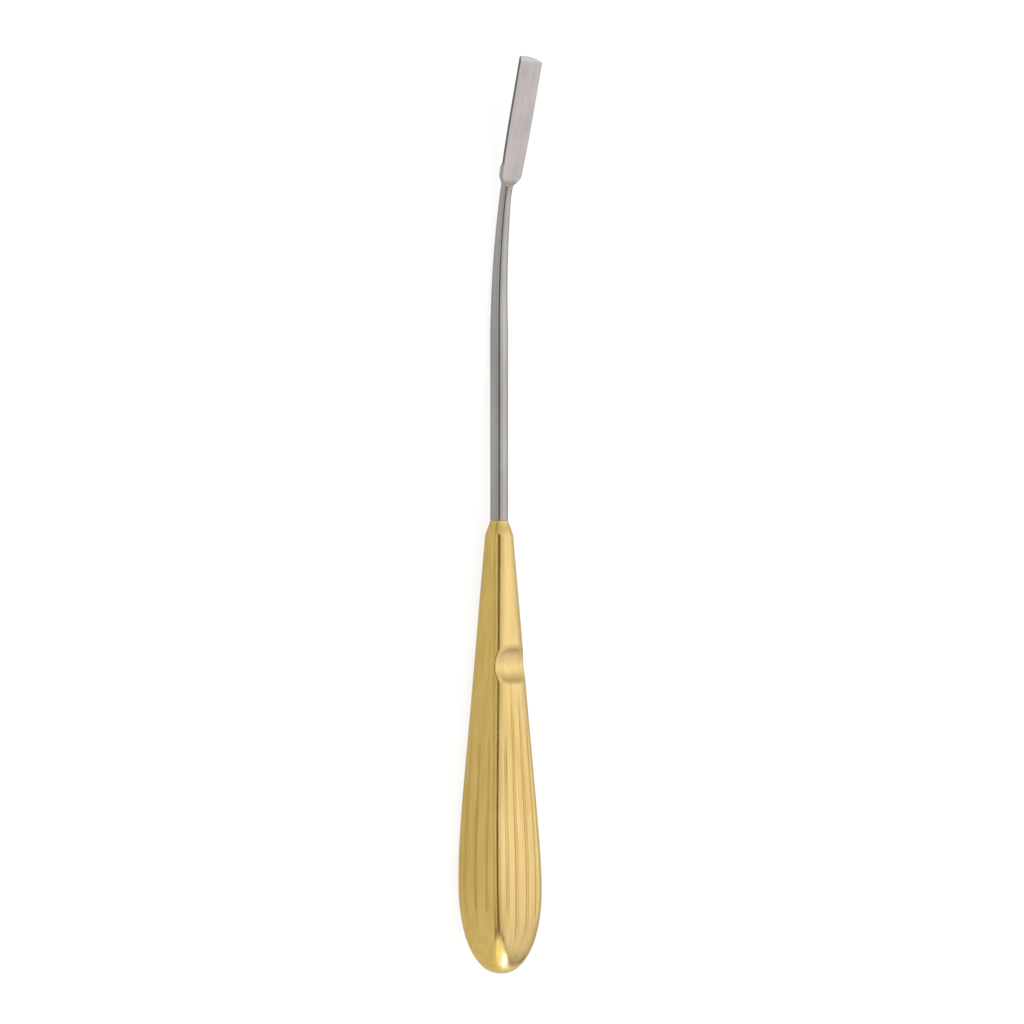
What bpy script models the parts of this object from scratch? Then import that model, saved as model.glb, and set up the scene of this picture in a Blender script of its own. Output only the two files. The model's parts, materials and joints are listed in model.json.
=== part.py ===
"""Frontotemporal dissector, about 240 mm long: a polished gold handle with long shallow grooves
and a thumb notch, and a steel shank that bends forward into a narrow flat blade.

Two solids in metres, +Z up. The instrument lies on its back as it comes to rest on a table, with
the blade towards +Y and the front of the handle, where the notch is, facing up.

It is drawn along its own axis first. There y is the distance from the handle's widest section
towards the blade, x is across, and z is towards the front. A last matrix lays it on the table."""

import math

import bmesh
import bpy
import numpy as np
from mathutils import Matrix

# Handle. DIAG is half the handle's size as seen from 45 degrees, across its corners.
HANDLE_DIAG = 0.0109  # at the widest section
HANDLE_ASPECT = 1.10  # width over thickness at the widest section
NECK_DIAG = 0.00377  # where the handle ends and its round shoulder begins
HANDLE_TAPER_LENGTH = 0.0907  # widest section to shoulder
HANDLE_BLEND = 0.0136  # how softly the taper leaves the widest section
HANDLE_WAIST = 0.0002  # how far the taper is drawn in half way along
HANDLE_BOW = 0.00065  # how far the butt end swells towards the front
BOW_FROM = 0.026  # the swell begins here
BUTT_LENGTH = 0.0232  # widest section to the end of the dome
BUTT_POWER = 2.2  # 2 is an ellipse, more is blunter
SQUARENESS = 5.4  # section exponent at the widest section; the neck is round, 2
BUTT_SQUARENESS = 2.3
SHOULDER_LENGTH = 0.0048
SHOULDER_POWER = 1.3  # how full the shoulder's curve is
RIM = 0.00004  # the shoulder ends this much wider than the shank

# The handle is a hollow shell
WALL = 0.0012  # under the notch
SIDE_WALL = 0.0015  # from the hollow to the ungrooved section, so that the grooves leave enough
BUTT_WALL = 0.0017
BORE_LENGTH = 0.0125  # the solid neck around the tang
HOLLOW_END = 0.006  # the hollow closes down to the bore over this length

# Grooves, as shares of the half width or half thickness, four on each broad face, three on each side
FACE_GROOVES = (-0.585, -0.21, 0.21, 0.585)
SIDE_GROOVES = (-0.5, 0.0, 0.5)
GROOVE_HALF = 0.09  # half width of a groove, in the same shares
GROOVE_DEPTH = 0.00028
INNER_GROOVE_Y = (-0.0165, 0.0535)  # where the middle grooves of a broad face begin and end
OUTER_GROOVE_Y = (-0.0110, 0.0455)  # and the outer ones, and those of the sides
GROOVE_FADE_BUTT = 0.0070
GROOVE_FADE_NECK = 0.0065

# Thumb notch, a scallop across the front
NOTCH_Y = 0.0580
NOTCH_RADIUS = 0.0075
NOTCH_DEPTH = 0.0017

# Shank
SHANK_RADIUS = 0.00236
SHANK_STRAIGHT = 0.0525  # length of it that shows before the bend
SWEEP_RADIUS = 0.230  # the long gentle part of the bend
SWEEP_ANGLE = math.radians(7.8)
KINK_RADIUS = 0.029  # the shorter part next to the blade
KINK_ANGLE = math.radians(5.95)
SHANK_TIP_RADIUS = 0.00158
TAPER_START = 0.0025  # the shank starts to thin this far before its bend
TANG_RADIUS = 0.0017  # hidden in the handle
TANG_LENGTH = 0.026
TANG_END_RADIUS = 0.00128  # the tang's end is chamfered to this
TANG_CHAMFER = 0.0007  # over this length
FIT = 0.0003  # gap between the shank and the handle

# Blade, measured along itself from the end of the bend
BLADE_LENGTH = 0.0352
BLADE_WIDTH = 0.0078
BLADE_ROOT_WIDTH = 0.0064
BLADE_WIDENS = 0.020  # the blade reaches its full width over this length
BLADE_THICKNESS = 0.00095
BLADE_FACE = 0.00127  # the face is this far in front of the shank's centre line
SHOULDER_FROM = 0.0011  # the round shank starts to spread here
SHOULDER_TO = 0.0034  # and has reached the blade's width here
FACE_FROM = 0.0015  # the flat face begins here
RUNOUT_RADIUS = 0.004  # and runs out of the shank in this curve
RUNOUT_ANGLE = math.radians(64)
FACE_STOCK = 0.0006  # the blade is drawn this much thicker in front, and its face then cut flat
KEEL_LENGTH = 0.0085  # the shank fades into the back of the blade over this length
KEEL_POWER = 2.6  # how square the keel is
ROOT_THICKNESS = 0.00148  # thickness of the blade's edge at its root
ROOT_LENGTH = 0.0058  # it stays this thick over this length
ROOT_STEP = 0.0014  # and thins to the blade over this
TIP_BEVEL_LENGTH = 0.0012
TIP_BEVEL_DEPTH = 0.00048
TIP_CORNER = 0.00035
TIP_REACH = 0.003  # the end's crown and slant fade out over this length
TIP_CROWN = 0.00053  # how far the middle of the end stands out
TIP_SLANT = 0.137  # slope of the end across the blade
EDGE_ROUND = 0.00016
MOST_ROUND = (0.45, 0.8)  # at most these shares of the blade's half width and half thickness

# How finely it is drawn
DOME_ANGLES = (4, 9, 15, 22, 30, 38, 47, 56, 65, 74, 82)  # degrees from the butt's end
HOLLOW_ANGLES = (12, 26, 42, 58, 74)
HANDLE_STEPS = 29
HOLLOW_STEPS = 22
SHOULDER_STEPS = 6
SWEEP_STEPS = 9
KINK_STEPS = 3
ROOT_STEPS = (6, 3, 5)  # where the blade spreads, where it is thick, and where it thins
BLADE_STEPS = 9
TIP_STEPS = 6
TIP_CORNER_SHARES = (1, 0.5, 0.2, 0)
RUNOUT_STEPS = 8
SHANK_POINTS = 32
NOTCH_POINTS = 72
HOLLOW_POINTS = 28
SMOOTH_ANGLE = math.radians(32)
SPARE = 0.002  # cutters reach this far past what they cut

# Metals: base colour and roughness
GOLD_PLATE = (0.80, 0.62, 0.27), 0.22
SATIN_STEEL = (0.58, 0.57, 0.56), 0.34


def new_material(name, colour, roughness):
    """A metal of this base colour and roughness."""
    material = bpy.data.materials.new(name)
    material.use_nodes = True
    shader = material.node_tree.nodes["Principled BSDF"]
    shader.inputs["Base Color"].default_value = (*colour, 1.0)
    shader.inputs["Metallic"].default_value = 1.0
    shader.inputs["Roughness"].default_value = roughness
    material.diffuse_color = (*colour, 1.0)
    return material


def new_object(name, points, faces, material=None):
    """A mesh object with its normals facing out."""
    mesh = bpy.data.meshes.new(name)
    mesh.from_pydata([tuple(p) for p in points], [], faces)
    work = bmesh.new()
    work.from_mesh(mesh)
    bmesh.ops.recalc_face_normals(work, faces=work.faces)
    work.to_mesh(mesh)
    work.free()
    if material:
        mesh.materials.append(material)
    obj = bpy.data.objects.new(name, mesh)
    bpy.context.scene.collection.objects.link(obj)
    return obj


def tube(rings, strip_end=False):
    """Points and faces of a closed skin over rings of equal length. A ring of one point is a pole. With
    strip_end the last ring is closed by a row of faces from its upper points to its lower ones."""
    points, faces, starts = [], [], []
    for ring in rings:
        starts.append(len(points))
        points.extend(ring)
    for i in range(len(rings) - 1):
        a, b, m, n = starts[i], starts[i + 1], len(rings[i]), len(rings[i + 1])
        for k in range(max(m, n)):
            j = (k + 1) % max(m, n)
            if m == 1:
                faces.append((a, b + k, b + j))
            elif n == 1:
                faces.append((a + k, b, a + j))
            else:
                faces.append((a + k, b + k, b + j, a + j))
    if len(rings[0]) > 1:
        faces.append(tuple(range(len(rings[0]))))
    last, n = starts[-1], len(rings[-1])
    if strip_end:
        side = n // 8 + 1
        rows = [[*range(side + 1), *range(n - side, n)], [*range(n // 2 - side, n // 2 + side + 1)]]
        rows += [[k, k + 1, n - k - 1, n - k] for k in range(side, n // 2 - side)]
        faces += [tuple(last + i for i in row) for row in rows]
    elif n > 1:
        faces.append(tuple(last + k for k in range(n)))
    return points, faces


def smooth(x):
    """0 below 0, 1 above 1, and an even step between."""
    x = min(max(x, 0.0), 1.0)
    return x * x * (3 - 2 * x)


def cut(obj, cutter):
    """Takes the cutter's shape out of the object."""
    cutter.hide_render = True
    cutter.display_type = "WIRE"
    boolean = obj.modifiers.new("cut_" + cutter.name, "BOOLEAN")
    boolean.operation = "DIFFERENCE"
    boolean.solver = "EXACT"
    boolean.object = cutter


# The handle's section at a distance y from the widest one

TAPER_SLOPE = (HANDLE_DIAG - NECK_DIAG) / (
    math.hypot(HANDLE_TAPER_LENGTH, HANDLE_BLEND) - HANDLE_BLEND
)
HANDLE_END = HANDLE_TAPER_LENGTH + SHOULDER_LENGTH
END_RADIUS = SHANK_RADIUS + RIM


def diag(y):
    """Half the size across the corners."""
    if y < 0:
        share = min(-y / BUTT_LENGTH, 1.0)
        return HANDLE_DIAG * (1 - share**BUTT_POWER) ** (1 / BUTT_POWER)
    if y <= HANDLE_TAPER_LENGTH:
        waist = HANDLE_WAIST * math.sin(math.pi * y / HANDLE_TAPER_LENGTH) ** 2
        return HANDLE_DIAG - TAPER_SLOPE * (math.hypot(y, HANDLE_BLEND) - HANDLE_BLEND) - waist
    share = min(max((HANDLE_END - y) / SHOULDER_LENGTH, 0.0), 1.0)
    return END_RADIUS + (NECK_DIAG - END_RADIUS) * math.sin(math.pi / 2 * share**SHOULDER_POWER)


def bow(y):
    """How far the section's centre is in front of the axis."""
    return HANDLE_BOW * smooth((BOW_FROM - y) / (BOW_FROM + BUTT_LENGTH))


def squareness(y):
    """The section's exponent, from 2 for an ellipse upwards."""
    if y < 0:
        return BUTT_SQUARENESS + (SQUARENESS - BUTT_SQUARENESS) * math.cos(
            min(-y / BUTT_LENGTH, 1.0) * math.pi / 2
        )
    return SQUARENESS - (SQUARENESS - 2) * min(y / HANDLE_TAPER_LENGTH, 1.0)


def halves(y):
    """Half width, half thickness and exponent of the section."""
    n = squareness(y)
    aspect = 1 + (HANDLE_ASPECT - 1) * (n - 2) / (SQUARENESS - 2)
    mean = diag(y) * 2 ** (1 / n - 0.5)
    return mean * math.sqrt(aspect), mean / math.sqrt(aspect), n


def shares(grooves, corner):
    """Where a face's points are, as shares: across each groove, on each rib, and up to the corner."""
    marks = {g + GROOVE_HALF * k / 2 for g in grooves for k in (-2, -1, 0, 1, 2)}
    marks |= {(a + b) / 2 for a, b in zip(grooves, grooves[1:])}
    edge = max(grooves) + GROOVE_HALF
    for k in (1, 2):
        marks |= {s * (edge + (corner - edge) * k / 3) for s in (-1, 1)}
    return sorted(marks)


def dent(share, y, grooves, inner):
    """How deep a groove is at this share of the half width, at y."""
    deep = 0.0
    for g in grooves:
        low, high = INNER_GROOVE_Y if abs(g) in inner else OUTER_GROOVE_Y
        run = smooth((y - low) / GROOVE_FADE_BUTT) * smooth((high - y) / GROOVE_FADE_NECK)
        across = min(abs(share - g) / GROOVE_HALF, 1.0)
        deep = max(deep, GROOVE_DEPTH * run * 0.5 * (1 + math.cos(math.pi * across)))
    return deep


def handle_ring(y):
    """The outer section, grooves included, starting at the front's left corner."""
    a, b, n = halves(y)
    corner = 0.5 ** (1 / n)
    broad, narrow = shares(FACE_GROOVES, corner), shares(SIDE_GROOVES, corner)
    inner = {min(abs(g) for g in FACE_GROOVES)}
    points = []

    def add(sx, sz, deep):
        """A point from its shares of the half sizes, moved in by the groove's depth."""
        nx = math.copysign(abs(sx) ** (n - 1), sx) / a
        nz = math.copysign(abs(sz) ** (n - 1), sz) / b
        size = math.hypot(nx, nz)
        points.append((sx * a - nx / size * deep, y, bow(y) + sz * b - nz / size * deep))

    def other(share):
        return (1 - abs(share) ** n) ** (1 / n)

    add(-corner, corner, 0.0)
    for s in broad:
        add(s, other(s), dent(s, y, FACE_GROOVES, inner))
    add(corner, corner, 0.0)
    for s in reversed(narrow):
        add(other(s), s, dent(s, y, SIDE_GROOVES, ()))
    add(corner, -corner, 0.0)
    for s in reversed(broad):
        add(s, -other(s), dent(s, y, FACE_GROOVES, inner))
    add(-corner, -corner, 0.0)
    for s in narrow:
        add(-other(s), s, dent(s, y, SIDE_GROOVES, ()))
    return points


def steps(start, end, count):
    """Evenly spaced values, without the last."""
    return [start + (end - start) * k / count for k in range(count)]


def build_handle(material):
    ys = [-BUTT_LENGTH * math.cos(math.radians(a)) for a in DOME_ANGLES]
    ys += steps(0, HANDLE_TAPER_LENGTH, HANDLE_STEPS)
    ys += steps(HANDLE_TAPER_LENGTH, HANDLE_END, SHOULDER_STEPS) + [HANDLE_END]
    rings = [[(0.0, -BUTT_LENGTH, bow(-BUTT_LENGTH))]] + [handle_ring(y) for y in ys]
    handle = new_object("handle", *tube(rings), material)
    cut(handle, notch_cutter())
    cut(handle, cavity_cutter())
    return handle


def notch_centre():
    """Height of the scallop's axis above the handle's own."""
    return halves(NOTCH_Y)[1] - NOTCH_DEPTH + NOTCH_RADIUS


def notch_cutter():
    """A round bar across the front."""
    half = HANDLE_DIAG + SPARE
    ring = []
    for k in range(NOTCH_POINTS):
        a = 2 * math.pi * (k + 0.5) / NOTCH_POINTS
        ring.append((NOTCH_Y + NOTCH_RADIUS * math.sin(a), notch_centre() - NOTCH_RADIUS * math.cos(a)))
    rings = [[(x, y, z) for y, z in ring] for x in (-half, half)]
    return new_object("cut_notch", *tube(rings))


def squircle(a, b, n):
    """Points of the hollow's section, with these half sizes and this exponent."""
    points = []
    for k in range(HOLLOW_POINTS):
        turn = 2 * math.pi * (k + 0.5) / HOLLOW_POINTS
        c, s = math.cos(turn), math.sin(turn)
        points.append((a * math.copysign(abs(c) ** (2 / n), c), b * math.copysign(abs(s) ** (2 / n), s)))
    return points


def cavity_cutter():
    """The hollow of the handle, with the bore for the tang at its neck."""
    bore = TANG_RADIUS + FIT
    neck = HANDLE_END - BORE_LENGTH
    low = -BUTT_LENGTH + BUTT_WALL
    a0, b0, _ = halves(0)
    ys = [low * math.cos(math.radians(a)) for a in HOLLOW_ANGLES]
    ys += steps(0, neck - HOLLOW_END, HOLLOW_STEPS) + [neck - HOLLOW_END]
    rings = [[(0.0, low, bow(low))]]
    for y in ys:
        a, b, n = halves(y * BUTT_LENGTH / -low if y < 0 else y)
        a, b = a - SIDE_WALL, b - SIDE_WALL
        if y < 0:
            shrink = math.sqrt(1 - (y / low) ** 2)
            a, b = min(a, (a0 - SIDE_WALL) * shrink), min(b, (b0 - SIDE_WALL) * shrink)
        away = NOTCH_RADIUS**2 - (y - NOTCH_Y) ** 2
        top = notch_centre() - math.sqrt(away) - WALL if away > 0 else math.inf
        rings.append([(x, y, min(z + bow(y), top)) for x, z in squircle(a, b, n)])
    rings += [[(x, y, z) for x, z in squircle(bore, bore, 2)] for y in (neck, HANDLE_END + SPARE)]
    return new_object("cut_cavity", *tube(rings))


# The shank and blade follow one line in the y, z plane

SWEEP_LENGTH = SWEEP_RADIUS * SWEEP_ANGLE
KINK_LENGTH = KINK_RADIUS * KINK_ANGLE
BEND_FROM = HANDLE_END + SHANK_STRAIGHT
BEND_TO = BEND_FROM + SWEEP_LENGTH + KINK_LENGTH  # the blade's own length starts here


def line_at(length):
    """Point and angle of the centre line at this length from the handle's widest section."""
    if length <= BEND_FROM:
        return length, 0.0, 0.0
    part = min(length - BEND_FROM, SWEEP_LENGTH)
    angle = part / SWEEP_RADIUS
    y = BEND_FROM + SWEEP_RADIUS * math.sin(angle)
    z = SWEEP_RADIUS * (1 - math.cos(angle))
    if length <= BEND_FROM + SWEEP_LENGTH:
        return y, z, angle
    part = min(length - BEND_FROM - SWEEP_LENGTH, KINK_LENGTH)
    end = SWEEP_ANGLE + part / KINK_RADIUS
    y += KINK_RADIUS * (math.sin(end) - math.sin(SWEEP_ANGLE))
    z += KINK_RADIUS * (math.cos(SWEEP_ANGLE) - math.cos(end))
    rest = max(length - BEND_TO, 0.0)
    return y + rest * math.cos(end), z + rest * math.sin(end), end


def placed(ring, length):
    """A flat ring of (x, n) set square to the centre line at this length."""
    y, z, angle = line_at(length)
    return [(x, y - n * math.sin(angle), z + n * math.cos(angle)) for x, n in ring]


def circle(radius):
    return [
        (radius * math.cos(2 * math.pi * k / SHANK_POINTS), radius * math.sin(2 * math.pi * k / SHANK_POINTS))
        for k in range(SHANK_POINTS)
    ]


def plate(half, top, bottom, keel, keel_half, rounding):
    """A flat section as the same number of points as the circle: a fifth of each quarter is its corner."""
    quarter = SHANK_POINTS // 4
    c0, c1 = quarter // 2 - 1, quarter // 2 + 1
    middle, tall = (top + bottom) / 2, (top - bottom) / 2
    rounding = min(rounding, half * MOST_ROUND[0], tall * MOST_ROUND[1])
    ring = []
    for k in range(SHANK_POINTS):
        q = k if k <= 2 * quarter else k - 4 * quarter
        up, m = (1 if q >= 0 else -1), abs(q)
        right = 1 if m <= quarter else -1
        m = m if m <= quarter else 2 * quarter - m
        if m < c0:
            x, n = half, (tall - rounding) * m / c0
        elif m <= c1:
            turn = math.pi / 2 * (m - c0) / (c1 - c0)
            x = half - rounding + rounding * math.cos(turn)
            n = tall - rounding + rounding * math.sin(turn)
        else:
            x, n = (half - rounding) * (quarter - m) / (quarter - c1), tall
        n = middle + up * n
        if up < 0 and m > c1 and keel > 0:
            n -= keel * math.exp(-((x / keel_half) ** KEEL_POWER))
        ring.append((right * x, n))
    return ring


def blade_ring(at):
    """The section at this length along the blade, before its face is cut flat."""
    weight = min(max((at - SHOULDER_FROM) / (SHOULDER_TO - SHOULDER_FROM), 0.0), 1.0)
    to_tip = BLADE_LENGTH - at
    narrow = (1 - min(at / BLADE_WIDENS, 1.0)) ** 2
    half = (BLADE_WIDTH + (BLADE_ROOT_WIDTH - BLADE_WIDTH) * narrow) / 2
    if to_tip < TIP_CORNER:
        half -= TIP_CORNER - math.sqrt(max(TIP_CORNER**2 - (TIP_CORNER - to_tip) ** 2, 0))
    root = 1 - smooth((at - ROOT_LENGTH) / ROOT_STEP)
    thick = BLADE_THICKNESS + (ROOT_THICKNESS - BLADE_THICKNESS) * root
    keel = (BLADE_FACE + SHANK_TIP_RADIUS - thick) * (1 - smooth((at - SHOULDER_TO) / KEEL_LENGTH))
    top = BLADE_FACE + FACE_STOCK
    flat = plate(half, top, BLADE_FACE - thick, keel, SHANK_TIP_RADIUS, EDGE_ROUND)
    return [
        (c[0] * (1 - weight) + f[0] * weight, c[1] * (1 - weight) + f[1] * weight)
        for c, f in zip(circle(SHANK_TIP_RADIUS), flat)
    ]


def blade_placed(at):
    """The section set in place. Near the tip its points move back, which crowns and slants the end."""
    ring = blade_ring(at)
    placed_ring = placed(ring, BEND_TO + at)
    angle = line_at(BEND_TO + at)[2]
    share = smooth(1 - (BLADE_LENGTH - at) / TIP_REACH)
    moved = []
    for (x, n), (px, py, pz) in zip(ring, placed_ring):
        across = x / (BLADE_WIDTH / 2)
        back = share * (TIP_CROWN * across**2 + TIP_SLANT * x)
        moved.append((px, py - back * math.cos(angle), pz - back * math.sin(angle)))
    return moved


def shank_radius(length):
    start = BEND_FROM - TAPER_START
    end = BEND_TO - KINK_LENGTH
    share = min(max((length - start) / (end - start), 0.0), 1.0)
    return SHANK_RADIUS + (SHANK_TIP_RADIUS - SHANK_RADIUS) * share


def build_steel(material):
    tang_from, tang_to = HANDLE_END + FIT - TANG_LENGTH, HANDLE_END + FIT
    rings = [
        placed(circle(TANG_END_RADIUS), tang_from),
        placed(circle(TANG_RADIUS), tang_from + TANG_CHAMFER),
        placed(circle(TANG_RADIUS), tang_to),
        placed(circle(SHANK_RADIUS), tang_to),
    ]
    lengths = [BEND_FROM - TAPER_START]
    lengths += steps(BEND_FROM, BEND_FROM + SWEEP_LENGTH, SWEEP_STEPS)
    lengths += steps(BEND_FROM + SWEEP_LENGTH, BEND_TO, KINK_STEPS) + [BEND_TO]
    rings += [placed(circle(shank_radius(length)), length) for length in lengths]
    thinned, near_tip = ROOT_LENGTH + ROOT_STEP, BLADE_LENGTH - TIP_REACH
    along = steps(SHOULDER_FROM, SHOULDER_TO, ROOT_STEPS[0])
    along += steps(SHOULDER_TO, ROOT_LENGTH, ROOT_STEPS[1])
    along += steps(ROOT_LENGTH, thinned, ROOT_STEPS[2])
    along += steps(thinned, near_tip, BLADE_STEPS)
    along += steps(near_tip, BLADE_LENGTH - TIP_CORNER, TIP_STEPS)
    along += [BLADE_LENGTH - TIP_CORNER * share for share in TIP_CORNER_SHARES]
    rings += [blade_placed(at) for at in along]
    steel = new_object("blade_shank", *tube(rings, strip_end=True), material)
    cut(steel, face_cutter())
    return steel


def face_cutter():
    """All that is in front of the blade's face: its flat, the curve where it leaves the shank, and the
    bevel at the tip."""
    end, above = BLADE_LENGTH + SPARE, BLADE_FACE + RUNOUT_RADIUS + SPARE
    profile = [(end, BLADE_FACE - TIP_BEVEL_DEPTH * (1 + SPARE / TIP_BEVEL_LENGTH))]
    profile += [(BLADE_LENGTH - TIP_BEVEL_LENGTH, BLADE_FACE), (FACE_FROM, BLADE_FACE)]
    for turn in steps(0, RUNOUT_ANGLE, RUNOUT_STEPS)[1:] + [RUNOUT_ANGLE]:
        profile.append(
            (FACE_FROM - RUNOUT_RADIUS * math.sin(turn), BLADE_FACE + RUNOUT_RADIUS * (1 - math.cos(turn)))
        )
    profile += [(profile[-1][0], above), (end, above)]
    y0, z0, angle = line_at(BEND_TO)
    rings = []
    for x in (-BLADE_WIDTH, BLADE_WIDTH):
        rings.append(
            [
                (
                    x,
                    y0 + at * math.cos(angle) - n * math.sin(angle),
                    z0 + at * math.sin(angle) + n * math.cos(angle),
                )
                for at, n in profile
            ]
        )
    return new_object("cut_face", *tube(rings))


# How it lies

def mesh_arrays(obj):
    obj.data.calc_loop_triangles()
    points = np.array([v.co for v in obj.data.vertices])
    faces = np.array([t.vertices for t in obj.data.loop_triangles])
    return points, faces


def rest_matrix(objects):
    """Turns the instrument about x until it lies on two places with its weight between them, then puts
    the middle of its base on the origin."""
    points, volume, moment = [], 0.0, 0.0
    for obj in objects:
        p, f = mesh_arrays(obj)
        points.append(p)
        six = np.einsum("ij,ij->i", p[f[:, 0]], np.cross(p[f[:, 1]], p[f[:, 2]]))
        volume += six.sum() / 6
        moment += (six * p[f].sum(1)[:, 1]).sum() / 24
    points = np.vstack(points)
    balance = moment / volume
    order = points[np.argsort(points[:, 1])][:, 1:]
    under = []
    for p in order:
        while len(under) > 1 and np.linalg.det(np.array([under[-1] - under[-2], p - under[-2]])) <= 0:
            under.pop()
        under.append(p)
    for a, b in zip(under, under[1:]):
        if a[0] <= balance <= b[0]:
            tilt = math.atan2(b[1] - a[1], b[0] - a[0])
    turn = Matrix.Rotation(-tilt, 4, "X")
    turned = points @ np.array(turn.to_3x3()).T
    low, high = turned.min(0), turned.max(0)
    return Matrix.Translation((0, -(low[1] + high[1]) / 2, -low[2])) @ turn


def main():
    for obj in list(bpy.data.objects):
        bpy.data.objects.remove(obj)
    gold = new_material("gold_plate", *GOLD_PLATE)
    steel = new_material("satin_steel", *SATIN_STEEL)
    parts = [build_handle(gold), build_steel(steel)]
    place = rest_matrix(parts)
    for obj in bpy.data.objects:
        obj.matrix_world = place
    for obj in parts:
        obj.data.shade_smooth()
        obj.data.set_sharp_from_angle(angle=SMOOTH_ANGLE)


main()
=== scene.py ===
"""Look of the frontotemporal dissector: a fine gold handle and a fine steel shank and blade in place of
the plain solids, metal materials with their polishing marks, a pale floor and soft studio light.

Lengths are metres. The shapes are drawn along the instrument's own axis, as in the part's source:
y is the distance from the handle's widest section towards the blade, x is across, and z is towards
the front. lay_down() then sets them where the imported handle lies."""

import json
import math

import bmesh
import bpy
from mathutils import Matrix, Vector


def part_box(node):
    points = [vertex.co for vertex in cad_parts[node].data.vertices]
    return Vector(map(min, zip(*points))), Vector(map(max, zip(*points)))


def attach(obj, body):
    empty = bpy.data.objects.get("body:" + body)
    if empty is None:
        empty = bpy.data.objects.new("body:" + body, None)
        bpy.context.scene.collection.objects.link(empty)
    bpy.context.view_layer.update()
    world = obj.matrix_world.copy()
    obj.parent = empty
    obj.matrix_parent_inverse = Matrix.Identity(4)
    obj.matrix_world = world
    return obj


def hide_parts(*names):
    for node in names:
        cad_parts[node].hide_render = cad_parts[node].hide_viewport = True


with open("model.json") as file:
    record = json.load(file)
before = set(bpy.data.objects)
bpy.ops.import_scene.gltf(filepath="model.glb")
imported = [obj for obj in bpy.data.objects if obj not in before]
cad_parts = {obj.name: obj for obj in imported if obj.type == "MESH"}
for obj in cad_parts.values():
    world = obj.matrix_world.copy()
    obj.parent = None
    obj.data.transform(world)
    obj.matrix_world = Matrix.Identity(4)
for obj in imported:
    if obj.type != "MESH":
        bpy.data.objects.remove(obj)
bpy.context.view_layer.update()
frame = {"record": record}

# Handle, as in the part's source
HANDLE_DIAG = 0.0109
HANDLE_ASPECT = 1.10
NECK_DIAG = 0.00377
HANDLE_TAPER_LENGTH = 0.0907
HANDLE_BLEND = 0.0136
HANDLE_WAIST = 0.0002
HANDLE_BOW = 0.00065
BOW_FROM = 0.026
BUTT_LENGTH = 0.0232
BUTT_POWER = 2.2
SQUARENESS = 5.4
BUTT_SQUARENESS = 2.3
SHOULDER_LENGTH = 0.0048
SHOULDER_POWER = 1.3
HANDLE_END = HANDLE_TAPER_LENGTH + SHOULDER_LENGTH

FACE_GROOVES = (-0.585, -0.21, 0.21, 0.585)
SIDE_GROOVES = (-0.5, 0.0, 0.5)
GROOVE_HALF = 0.09
GROOVE_DEPTH = 0.00028
INNER_GROOVE_Y = (-0.0165, 0.0535)
OUTER_GROOVE_Y = (-0.0110, 0.0455)
GROOVE_FADE_BUTT = 0.0070
GROOVE_FADE_NECK = 0.0140  # longer than the solid's, as the photograph shows it

NOTCH_Y = 0.0580
NOTCH_RADIUS = 0.0075
NOTCH_DEPTH = 0.0017

# Only in this finer handle
NOTCH_SOFT = 0.0006  # how far from its edge the notch is polished over
SIDE_FROM, SIDE_TO = 0.45, 0.85  # the sides' gold takes a painted reflection tint between these sines, from a broad face to a side
RIM_ROUND = 0.0001  # rounding of the rim around the shank
BUTT_RINGS = 44
HANDLE_RINGS = (84, 96, 36, 18)  # to the notch, across it, on to the neck, and down the shoulder
CORNER_STEPS, RIB_STEPS, GROOVE_STEPS = 12, 6, 10  # points across a face, from one corner

# Shank and blade, as in the part's source
SHANK_RADIUS = 0.00236
SHANK_STRAIGHT = 0.0525
SWEEP_RADIUS = 0.230
SWEEP_ANGLE = math.radians(7.8)
KINK_RADIUS = 0.029
KINK_ANGLE = math.radians(5.95)
SHANK_TIP_RADIUS = 0.00158
TAPER_START = 0.0025
TANG_RADIUS = 0.0017
TANG_LENGTH = 0.026
TANG_END_RADIUS = 0.00128
TANG_CHAMFER = 0.0007
BORE_RADIUS = 0.0020
BORE_LENGTH = 0.0125
END_RADIUS = SHANK_RADIUS + 0.00004

BLADE_LENGTH = 0.0352
BLADE_WIDTH = 0.0078
BLADE_ROOT_WIDTH = 0.0064
BLADE_WIDENS = 0.020
BLADE_THICKNESS = 0.00095
BLADE_FACE = 0.00127
SHOULDER_FROM = 0.0011
SHOULDER_TO = 0.0034
FACE_FROM = 0.0015
RUNOUT_RADIUS = 0.004
RUNOUT_ANGLE = math.radians(64)
KEEL_LENGTH = 0.0085
KEEL_POWER = 2.6
ROOT_THICKNESS = 0.00148
ROOT_LENGTH = 0.0058
ROOT_STEP = 0.0014
TIP_BEVEL_LENGTH = 0.0012
TIP_BEVEL_DEPTH = 0.00048
TIP_CORNER = 0.00035
TIP_REACH = 0.003
TIP_CROWN = 0.00053
TIP_SLANT = 0.137
EDGE_ROUND = 0.00016

# Only in this finer steel
FACE_STOCK = 0.0006  # the blade is drawn this much thicker in front, and its face then cut flat
FACE_SOFT = 0.00006  # how softly the ground face meets its edges
SEAM = 0.00003  # the shank starts this far above the handle's rim
FOOT_ROUND = 0.00012  # rounding of the shank's foot
ARC_MIDDLE = 0.3  # the middle of a rounded edge is this share of its radius from both sides
AROUND = 128  # points around the shank
EDGE_POINTS = 4  # half the points that go round each edge of the blade
FIRST_RING = 0.0004  # how far above the shank's foot its straight part starts
TIGHT_END = 0.006  # the last part of the bend, which turns more sharply
SHANK_RINGS = (30, 40, 60)  # along the straight part, the bend, and that end
BLADE_RINGS = (60, 50, 50, 10, 18, 8)  # from the root to the tip
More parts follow.
